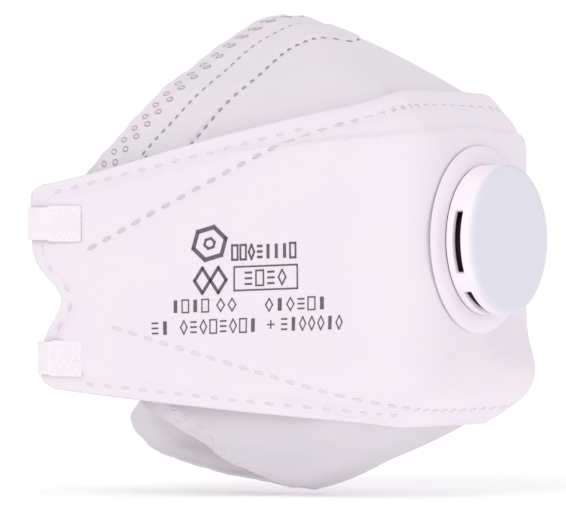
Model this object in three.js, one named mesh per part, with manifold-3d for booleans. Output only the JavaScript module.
// Disposable flat-fold dust mask with an exhalation valve and elastic ear loops.
// Millimetres, +Z up, the valve faces -Y, and the wearer's right side is -X.
// The origin is the middle of the valve cover's flat front face.
import * as THREE from 'three';
import { mergeVertices } from 'three/addons/utils/BufferGeometryUtils.js';
import Module from 'manifold-3d';

const wasm = await Module();
wasm.setup();

// ---- driving dimensions ----
const gap = 0.3;                  // air between neighbouring solids
const mask = {
  frontHalf: 16,                  // flat half width behind the valve
  cornerRadius: 14,               // bend from the front into each side
  sideTurn: THREE.MathUtils.degToRad(88),
  halfLength: 115.7,              // front centre to the end of the upper tab, along the cloth
  topAtFront: 31.3, topSlope: 0.21,
  bottomAtFront: -39, bottomSlope: 0.08,
  slopeFrom: 23,                  // where the long edges start to taper
  topEnd: 103, bottomEnd: 94,     // how far the folded panels reach towards the tabs
};
const layers = {                  // distance in from the panel's outer face
  cover: [0, 0.6], filter: [0.9, 1.9], lining: [2.2, 2.7], topLining: [3.3, 3.8],
};
const behindWall = 4.4;           // where a folded panel starts, in from the middle panel's face
const clip = { reach: 0.68, fromEdge: 10.6, width: 4.2, depth: [2.2, 3.0] };
const foam = { reach: 0.42, fromEdge: 1.6, width: 8.5, depth: [4.1, 7.9] };
const valve = {
  coverRadius: 15.6, coverWall: 1.1, coverFace: 1.2, coverHeight: 6.3,
  flangeRadius: 19.6, flangeThick: 1.2, tubeRadius: 13.6, bore: 12.2, seatRadius: 9.8,
  seatHeight: 1.5, holeRadius: 14, ribWidth: 1.2, flapRadius: 11, flapThick: 0.5,
  ventHeight: 1.9, ventBack: -3.3, hingeHeight: 11.6,
  vents: [[157, 207], [224, 264], [276, 316], [333, 383]], // degrees from +X towards +Z
};
const strap = {
  width: 7, thick: 0.9, upper: 3.5, lower: -25, reach: 52.5,
  foldAlong: 117.6, foldSlope: 2.6 / 28.5, foldIn: 1.9, // the fold line joins the turns at the two tabs
};

const flangeFront = -gap - valve.flangeThick;
const seatFront = flangeFront - valve.seatHeight;
const coverBack = flangeFront - gap;
const coverFront = coverBack - valve.coverHeight;

// ---- helpers ----
const materials = {
  cloth: [0xefe5ee, 0.9], filter: [0xf6f4f6, 0.95], lining: [0xd8d2d9, 0.92],
  shell: [0xf1e6f0, 0.45], face: [0xdedce8, 0.42], rubber: [0x38353a, 0.7],
  elastic: [0xf1eaf1, 0.85], metal: [0xb9bbc0, 0.35], foam: [0xe9e7ea, 1],
};

function piece(name, geometry, finish) {
  const [color, roughness] = materials[finish];
  const metalness = finish === 'metal' ? 1 : 0;
  const mesh = new THREE.Mesh(geometry, new THREE.MeshStandardMaterial({ color, roughness, metalness }));
  mesh.name = name;
  return mesh;
}

function toManifold(geometry) {
  const bare = new THREE.BufferGeometry();
  bare.setAttribute('position', geometry.attributes.position);
  bare.setIndex(geometry.index);
  const merged = mergeVertices(bare, 1e-4);
  return new wasm.Manifold(new wasm.Mesh({
    numProp: 3,
    vertProperties: new Float32Array(merged.attributes.position.array),
    triVerts: new Uint32Array(merged.index.array),
  }));
}

function fromManifold(solid) {
  const mesh = solid.getMesh();
  const geometry = new THREE.BufferGeometry();
  geometry.setAttribute('position', new THREE.BufferAttribute(mesh.vertProperties, 3));
  geometry.setIndex(new THREE.BufferAttribute(mesh.triVerts, 1));
  geometry.computeVertexNormals();
  return geometry;
}

function cut(geometry, ...tools) {
  return fromManifold(tools.reduce((solid, tool) => solid.subtract(toManifold(tool)), toManifold(geometry)));
}

function join(geometry, ...others) {
  return fromManifold(others.reduce((solid, other) => solid.add(toManifold(other)), toManifold(geometry)));
}

// A closed solid between two faces: place(u, v, depth) gives a point for u, v in 0..1.
function slab(place, across, up, [outer, inner]) {
  const positions = [];
  const index = [];
  const row = up + 1;
  const layer = (across + 1) * row;
  for (const depth of [outer, inner]) {
    for (let i = 0; i <= across; i++) {
      for (let j = 0; j <= up; j++) positions.push(...place(i / across, j / up, depth).toArray());
    }
  }
  const quad = (a, b, c, d) => index.push(a, b, c, a, c, d);
  for (let i = 0; i < across; i++) {
    for (let j = 0; j < up; j++) {
      const k = i * row + j;
      quad(k, k + row, k + row + 1, k + 1);
      quad(layer + k, layer + k + 1, layer + k + row + 1, layer + k + row);
    }
  }
  const rim = [];
  for (let i = 0; i < across; i++) rim.push(i * row);
  for (let j = 0; j < up; j++) rim.push(across * row + j);
  for (let i = across; i > 0; i--) rim.push(i * row + up);
  for (let j = up; j > 0; j--) rim.push(j);
  rim.forEach((a, n) => {
    const b = rim[(n + 1) % rim.length];
    quad(a, layer + a, layer + b, b);
  });
  const geometry = new THREE.BufferGeometry();
  geometry.setAttribute('position', new THREE.Float32BufferAttribute(positions, 3));
  geometry.setIndex(index);
  return geometry;
}

const ring = (profile, sides) =>
  new THREE.LatheGeometry(profile.map(([r, y]) => new THREE.Vector2(r, y)), sides);

// A block given by its lowest and highest corners.
function block([x0, y0, z0], [x1, y1, z1]) {
  return new THREE.BoxGeometry(x1 - x0, y1 - y0, z1 - z0)
    .translate((x0 + x1) / 2, (y0 + y1) / 2, (z0 + z1) / 2);
}

// A ring sector about the Y axis between two angles, in degrees from +X towards +Z.
function sector(from, to, inner, outer, y0, y1) {
  const [a, b] = [from, to].map(THREE.MathUtils.degToRad);
  const shape = new THREE.Shape();
  shape.absarc(0, 0, outer, a, b, false);
  shape.absarc(0, 0, inner, b, a, true);
  return new THREE.ExtrudeGeometry(shape, { depth: y1 - y0, bevelEnabled: false, curveSegments: 6 })
    .rotateX(Math.PI / 2).translate(0, y1, 0);
}

// ---- the middle panel's surface ----
const smooth = (x, width) => 0.5 * (x + Math.sqrt(x * x + width * width)); // a rounded max(x, 0)
const smoothMin = (a, b, width) => a - smooth(a - b, width);
const smoothMax = (a, b, width) => a + smooth(b - a, width);
const fade = (x, from, to) => THREE.MathUtils.smoothstep(x, from, to);

const topEdge = (s) => mask.topAtFront - mask.topSlope * smooth(Math.abs(s) - mask.slopeFrom, 8);
const bottomEdge = (s) => mask.bottomAtFront + mask.bottomSlope * smooth(Math.abs(s) - mask.slopeFrom, 8);

// The end of the panel: two rounded tabs with a notch between them.
function tabEnd(z) {
  const notch = 7.6 * Math.exp(-(((z + 12.6) / 6) ** 2));
  const lower = 2.6 * fade(-z, 12, 22);
  const corners = 5 * smooth(z - 9.5, 0.8) ** 2 / 9 + 6 * smooth(-29 - z, 0.8) ** 2 / 12;
  return mask.halfLength - notch - lower - corners;
}

// The plan of the panel at s along the cloth from the front centre: a point and its outward normal.
function plan(s) {
  const side = Math.sign(s) || 1;
  const bent = Math.min(Math.max(Math.abs(s) - mask.frontHalf, 0) / mask.cornerRadius, mask.sideTurn);
  const straight = Math.max(Math.abs(s) - mask.frontHalf - mask.cornerRadius * mask.sideTurn, 0);
  const x = Math.min(Math.abs(s), mask.frontHalf) + mask.cornerRadius * Math.sin(bent) + straight * Math.cos(bent);
  const y = mask.cornerRadius * (1 - Math.cos(bent)) + straight * Math.sin(bent);
  return { x: side * x, y, nx: side * Math.sin(bent), ny: -Math.cos(bent) };
}

// The front pulls in above and below the valve, and the sides stay upright.
function curl(s, z) {
  const front = 1 - fade(Math.abs(s), 30, 70);
  const top = 0.055 * Math.max(z - 18.5, 0) ** 2;
  const bottom = 0.1 * Math.max(-31 - z, 0) ** 2 - 1.9 * Math.exp(-(((z + 27.5) / 4.5) ** 2));
  return front * (top + bottom);
}

function wall(s, z, depth) {
  const p = plan(s);
  const inward = depth + curl(s, z);
  return new THREE.Vector3(p.x - p.nx * inward, p.y - p.ny * inward, z);
}

function middlePlace(u, v, depth) {
  const a = 2 * u - 1;
  const rough = a * mask.halfLength;
  const z = THREE.MathUtils.lerp(bottomEdge(rough), topEdge(rough), v);
  return wall(rough - a * Math.abs(a) ** 9 * (mask.halfLength - tabEnd(z)), z, depth);
}

// ---- the folded panels' surfaces: ruled from a weld line on the wall to a free edge ----
const topWeld = (s) => smoothMin(topEdge(s) - 3, 46.2 - 0.476 * Math.abs(s), 3);
const bottomWeld = (s) => smoothMax(bottomEdge(s) + 3, -43.1 + 0.259 * Math.abs(s), 3);
const noseEdge = [[0, 48, 49.3], [5.2, 52.5, 47.5], [12.2, 60.3, 40.3], [19.4, 70.2, 30], [28.3, 80.1, 13.8]];
const noseCurve = new THREE.CatmullRomCurve3([
  ...noseEdge.slice(1).reverse().map(([x, y, z]) => new THREE.Vector3(-x, y, z)),
  ...noseEdge.map(([x, y, z]) => new THREE.Vector3(x, y, z)),
]);
// The chin edge is slack on the left, where the panel hangs back behind the tabs.
const chinCurve = new THREE.CatmullRomCurve3([
  [-28.3, 75, -22.5], [-28, 67, -33.8], [-25, 58.3, -40.4], [-17.5, 50.7, -47.9], [-6, 45.8, -52.5],
  [6, 48.5, -53.6], [12, 61, -53], [14, 77, -50.2], [16, 92, -46.2], [19, 99.5, -40], [23, 98, -34],
].map((p) => new THREE.Vector3(...p)));

function folded(weld, end, curve, bulge) {
  const face = (u, v) => {
    const a = 2 * u - 1;
    const start = wall(a * end, weld(a * end), behindWall);
    const point = start.lerp(curve.getPoint(u), v);
    point.z += bulge * (1 - a * a) ** 1.5 * 4 * v * (1 - v);
    return point;
  };
  const step = 1e-3;
  return (u, v, depth) => {
    const [ua, ub] = [Math.max(u - step, 0), Math.min(u + step, 1)];
    const [va, vb] = [Math.max(v - step, 0), Math.min(v + step, 1)];
    const along = face(ub, v).sub(face(ua, v));
    const up = face(u, vb).sub(face(u, va));
    const outward = along.cross(up).normalize().multiplyScalar(Math.sign(bulge));
    return face(u, v).addScaledVector(outward, -depth);
  };
}

const topPlace = folded(topWeld, mask.topEnd, noseCurve, 2);
const bottomPlace = folded(bottomWeld, mask.bottomEnd, chinCurve, -3);

// A band on the top panel, set by its distances in from the nose edge.
function noseBand(part) {
  return slab((u, v, depth) => {
    const along = 0.5 + part.reach * (u - 0.5);
    const length = topPlace(along, 0, 0).distanceTo(topPlace(along, 1, 0));
    const inEdge = part.fromEdge + part.width * (1 - v);
    return topPlace(along, 1 - inEdge / length, depth);
  }, 24, 1, part.depth);
}

// ---- panels ----
function panels() {
  const hole = ring([[0, -5], [valve.holeRadius, -5], [valve.holeRadius, 9], [0, 9]], 32);
  const made = [];
  const middle = (depth) => cut(slab(middlePlace, 36, 8, depth), hole);
  made.push(piece('middle_panel_cover', middle(layers.cover), 'cloth'));
  made.push(piece('middle_panel_filter', middle(layers.filter), 'filter'));
  made.push(piece('middle_panel_lining', middle(layers.lining), 'lining'));
  const top = (depth) => slab(topPlace, 28, 5, depth);
  made.push(piece('top_panel_cover', top(layers.cover), 'cloth'));
  made.push(piece('top_panel_filter', top(layers.filter), 'filter'));
  made.push(piece('top_panel_lining', top(layers.topLining), 'lining'));
  const bottom = (depth) => slab((u, v, d) => bottomPlace(1 - u, v, d), 32, 5, depth);
  made.push(piece('bottom_panel_cover', bottom(layers.cover), 'cloth'));
  made.push(piece('bottom_panel_filter', bottom(layers.filter), 'filter'));
  made.push(piece('bottom_panel_lining', bottom(layers.lining), 'lining'));
  made.push(piece('nose_clip', noseBand(clip), 'metal'));
  made.push(piece('nose_foam', noseBand(foam), 'foam'));
  return made;
}

// ---- valve ----
function valveBase() {
  const { seatRadius: seat, flangeRadius: flange, tubeRadius: tube, bore } = valve;
  const body = ring([
    [seat, seatFront], [seat + 1, seatFront], [seat + 1, flangeFront], [flange - 0.6, flangeFront],
    [flange, flangeFront + 0.5], [flange, -gap], [tube, -gap], [tube, 4.6], [bore, 4.6], [bore, 0.4],
    [seat, 0.4], [seat, seatFront],
  ], 40);
  const half = valve.ribWidth / 2;
  const reach = seat + 0.5;
  const upright = block([-half, flangeFront, -reach], [half, -gap, reach]);
  const level = block([-reach, flangeFront, -half], [reach, -gap, half]);
  const perch = block([-3.6, seatFront, seat + 0.4], [3.6, flangeFront + 0.3, 13]);
  return piece('valve_base', join(body, upright, level, perch), 'shell');
}

function clampRing() {
  const inner = valve.tubeRadius + gap;
  const profile = [[inner, 3.1], [17.3, 3.1], [17.3, 3.9], [16.8, 4.3], [inner, 4.3], [inner, 3.1]];
  return piece('valve_clamp_ring', ring(profile, 32), 'shell');
}

function exhalationFlap() {
  const back = seatFront - gap;
  const front = back - valve.flapThick;
  const disc = ring([[0, front], [valve.flapRadius, front], [valve.flapRadius, back], [0, back]], 32);
  const tongue = block([-3.4, front, valve.flapRadius - 3], [3.4, back, 13]);
  return piece('exhalation_flap', join(disc, tongue), 'rubber');
}

function flapRetainer() {
  const front = seatFront - gap - valve.flapThick - gap;
  const bar = block([-5.3, front - 1.4, valve.hingeHeight + 0.3], [5.3, front, 13]);
  const post = (x) => block([x - 0.75, front - 0.5, valve.hingeHeight + 0.3], [x + 0.75, flangeFront - gap, 13]);
  return piece('flap_retainer', join(bar, post(-4.55), post(4.55)), 'shell');
}

function valveCover() {
  const { coverRadius: outer, coverWall, coverFace, ventHeight, ventBack } = valve;
  const inner = outer - coverWall;
  const shell = ring([
    [0, coverFront], [outer - 0.7, coverFront], [outer - 0.2, coverFront + 0.2], [outer, coverFront + 0.7],
    [outer, coverBack], [inner, coverBack], [inner, coverFront + coverFace], [0, coverFront + coverFace],
  ], 40);
  const vents = valve.vents.map(([from, to]) =>
    sector(from, to, inner - 1, outer + 1, ventBack - ventHeight, ventBack));
  return piece('valve_cover', cut(shell, ...vents), 'face');
}

// ---- ear loops ----
// A point behind or beside a tab: along the cloth, in from its face, and up.
function beside(side, along, inward, z) {
  const p = plan(side * along);
  return new THREE.Vector3(p.x - p.nx * inward, p.y - p.ny * inward, z);
}

const foldAt = (z) => strap.foldAlong + strap.foldSlope * (z - strap.upper);

// The welded end lies on the tab's face and wraps round its edge to the fold where the loop starts.
function strapEnd(side, from, edge, middle) {
  const half = strap.thick / 2;
  const lies = -gap - half;
  const turn = [];
  for (let i = 0; i <= 4; i++) {
    const angle = (i / 4) * Math.PI / 2;
    turn.push([edge + gap + 1.2 * Math.sin(angle), lies + 1.2 * (1 - Math.cos(angle))]);
  }
  const path = [[from, lies], ...turn, [foldAt(middle) - 0.4, strap.foldIn - 0.2]];
  return slab((u, v, depth) => {
    const at = u * (path.length - 1);
    const i = Math.min(Math.floor(at), path.length - 2);
    const [along, inward] = [0, 1].map((k) => THREE.MathUtils.lerp(path[i][k], path[i + 1][k], at - i));
    const before = path[Math.max(Math.round(at) - 1, 0)];
    const after = path[Math.min(Math.round(at) + 1, path.length - 1)];
    const run = Math.hypot(after[0] - before[0], after[1] - before[1]);
    const shift = [-(after[1] - before[1]) / run * depth, (after[0] - before[0]) / run * depth];
    return beside(side, along + shift[0], inward + shift[1], middle + side * (v - 0.5) * strap.width);
  }, path.length - 1, 1, [-half, half]);
}

// The loop is tucked inside the mask, its band twisting upright where it turns back.
function earLoop(side) {
  const route = [
    [1.2, 3.1, 3.5], [5, 5.6, 3.1], [13, 8.6, 1.5], [22, 10.8, -0.5], [36, 11.6, -1.2], [47.5, 11.6, -2.6],
    [strap.reach, 11.6, -7.5], [47.5, 11.6, -12.2], [36, 11.6, -13.2], [22, 10.8, -14.6], [13, 9.2, -17.8],
    [5, 6, -22.9], [1.2, 3.3, -25],
  ].map(([back, inward, z]) => beside(side, foldAt(z) - back, inward, z));
  const curve = new THREE.CatmullRomCurve3(route);
  const wallNormal = plan(side * 100);
  const inwards = new THREE.Vector3(-wallNormal.nx, -wallNormal.ny, 0);
  return slab((u, v, depth) => {
    const tangent = curve.getTangentAt(u);
    const flat = inwards.clone().addScaledVector(tangent, -inwards.dot(tangent)).normalize();
    const edge = tangent.clone().cross(flat);
    const twist = Math.PI / 2 * (fade(u, 0.12, 0.34) - fade(u, 0.66, 0.88));
    const wide = edge.clone().multiplyScalar(Math.cos(twist)).addScaledVector(flat, Math.sin(twist));
    const thin = tangent.clone().cross(wide);
    return curve.getPointAt(u).addScaledVector(wide, -(v - 0.5) * strap.width).addScaledVector(thin, depth);
  }, 44, 1, [-strap.thick / 2, strap.thick / 2]);
}

function straps() {
  return [['right', -1], ['left', 1]].flatMap(([name, side]) => [
    piece(`${name}_upper_strap_end`, strapEnd(side, 102.5, 115.6, strap.upper), 'elastic'),
    piece(`${name}_lower_strap_end`, strapEnd(side, 106, 112.8, strap.lower), 'elastic'),
    piece(`${name}_ear_loop`, earLoop(side), 'elastic'),
  ]);
}

const dustMask = new THREE.Group();
dustMask.add(...panels(), valveBase(), clampRing(), exhalationFlap(), flapRetainer(), valveCover(), ...straps());
dustMask.position.y = -coverFront;

export default dustMask;
